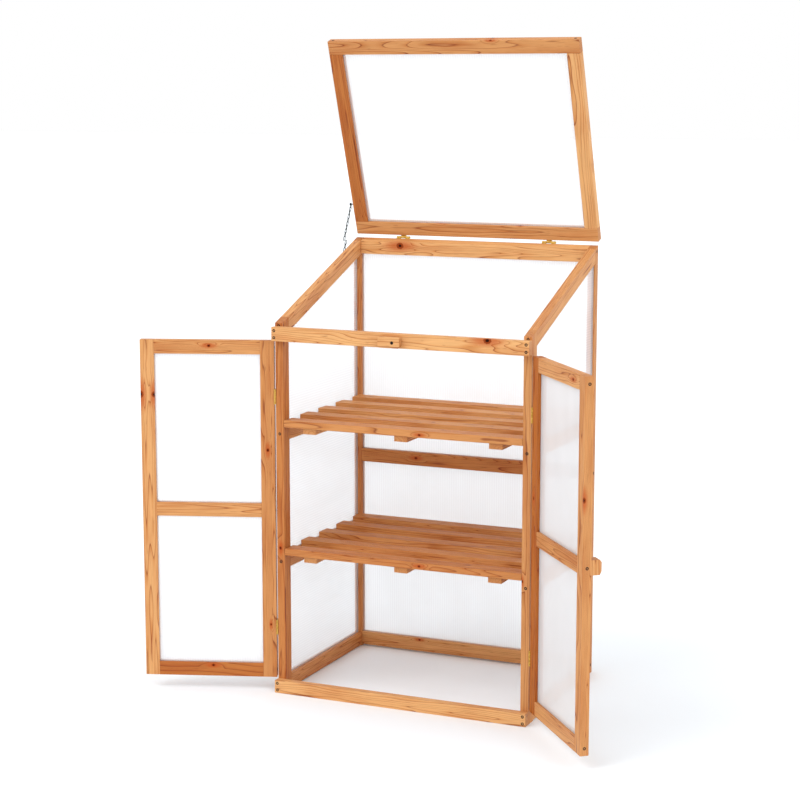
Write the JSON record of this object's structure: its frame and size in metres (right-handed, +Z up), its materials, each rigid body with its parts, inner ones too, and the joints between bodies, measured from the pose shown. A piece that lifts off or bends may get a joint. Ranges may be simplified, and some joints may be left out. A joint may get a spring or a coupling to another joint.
{
  "type": "cold frame",
  "caption": "Small timber cold frame cabinet with translucent twin-wall panes, slatted shelves, hinged doors, a sloping lift-up lid, a wooden turn button and a chain stay.",
  "frame": {"origin": "middle of the cabinet's width, at the front bottom rail's back edge, on the ground", "axes": "+X to the right as seen from the front, +Y from the front to the back, +Z up; doors and lid stand open"},
  "size_m": [1.0799, 0.6495, 1.4032],
  "materials": {
    "timber": "oiled softwood",
    "twin_wall": "translucent milky twin-wall sheet",
    "brass": "brushed",
    "black_screw": "black oxide",
    "chain_steel": "zinc plated"
  },
  "bodies": {
    "frame": {"front_post_left": "timber", "front_post_right": "timber", "rear_post_left": "timber", "rear_post_right": "timber", "front_top_rail": "timber", "front_bottom_rail": "timber", "slope_rail_left": "timber", "slope_rail_right": "timber", "side_bottom_rail_left": "timber", "side_bottom_rail_right": "timber", "upper_support_left": "timber", "upper_support_right": "timber", "lower_support_left": "timber", "lower_support_right": "timber", "back_top_rail": "timber", "back_middle_rail": "timber", "back_bottom_rail": "timber", "side_panes_left": "twin_wall", "side_panes_right": "twin_wall", "back_panes": "twin_wall", "upper_shelf_slats": "timber", "upper_shelf_battens": "timber", "lower_shelf_slats": "timber", "lower_shelf_battens": "timber", "door_hinges_frame": "brass", "lid_hinges_frame": "brass", "hinge_pins": "brass", "frame_screws": "black_screw", "button_screw": "black_screw", "frame_stay_screw": "black_screw"},
    "left_door": {"left_door_hinge_stile": "timber", "left_door_free_stile": "timber", "left_door_top_rail": "timber", "left_door_middle_rail": "timber", "left_door_bottom_rail": "timber", "left_door_panes": "twin_wall", "left_door_handle": "timber", "left_door_hinges": "brass", "left_door_screws": "black_screw"},
    "right_door": {"right_door_hinge_stile": "timber", "right_door_free_stile": "timber", "right_door_top_rail": "timber", "right_door_middle_rail": "timber", "right_door_bottom_rail": "timber", "right_door_panes": "twin_wall", "right_door_handle": "timber", "right_door_hinges": "brass", "right_door_screws": "black_screw"},
    "lid": {"lid_front_rail": "timber", "lid_hinge_rail": "timber", "lid_left_stile": "timber", "lid_right_stile": "timber", "lid_pane": "twin_wall", "lid_hinges": "brass", "lid_screws": "black_screw", "lid_stay_screw": "black_screw"},
    "button": {"turn_button": "timber"},
    "lower_chain_run": {"lower_chain": "chain_steel"},
    "upper_chain_run": {"upper_chain": "chain_steel"}
  },
  "joints": [
    {"name": "left_door_hinge", "type": "hinge", "parent": "frame", "child": "left_door", "pos_m": [-0.2915, -0.00025, 0.395], "axis": [0, 0, -1], "range_deg": [-160.2, 14.8]},
    {"name": "right_door_hinge", "type": "hinge", "parent": "frame", "child": "right_door", "pos_m": [0.2915, -0.00025, 0.395], "axis": [0, 0, 1], "range_deg": [-130, 45]},
    {"name": "lid_hinge", "type": "hinge", "parent": "frame", "child": "lid", "pos_m": [0, 0.4124, 0.96251], "axis": [-1, 0, 0], "range_deg": [-91.2, 0]},
    {"name": "button_turn", "type": "hinge", "parent": "frame", "child": "button", "pos_m": [-0.0045, -0.0254, 0.78275], "axis": [0, -1, 0], "range_deg": [0, 90]},
    {"name": "lower_chain_swing", "type": "hinge", "parent": "frame", "child": "lower_chain_run", "pos_m": [-0.2941, 0.336, 0.908], "axis": [-1, 0, 0], "range_deg": [-171.84, 0]},
    {"name": "upper_chain_swing", "type": "hinge", "parent": "lid", "child": "upper_chain_run", "pos_m": [-0.2997, 0.39817, 1.03489], "axis": [-1, 0, 0], "range_deg": [0, 87.67]}
  ],
  "couplings": [
    {"joint": "lower_chain_swing", "follows": "lid_hinge", "ratio": 1.8831},
    {"joint": "upper_chain_swing", "follows": "lid_hinge", "ratio": -0.96021}
  ]
}
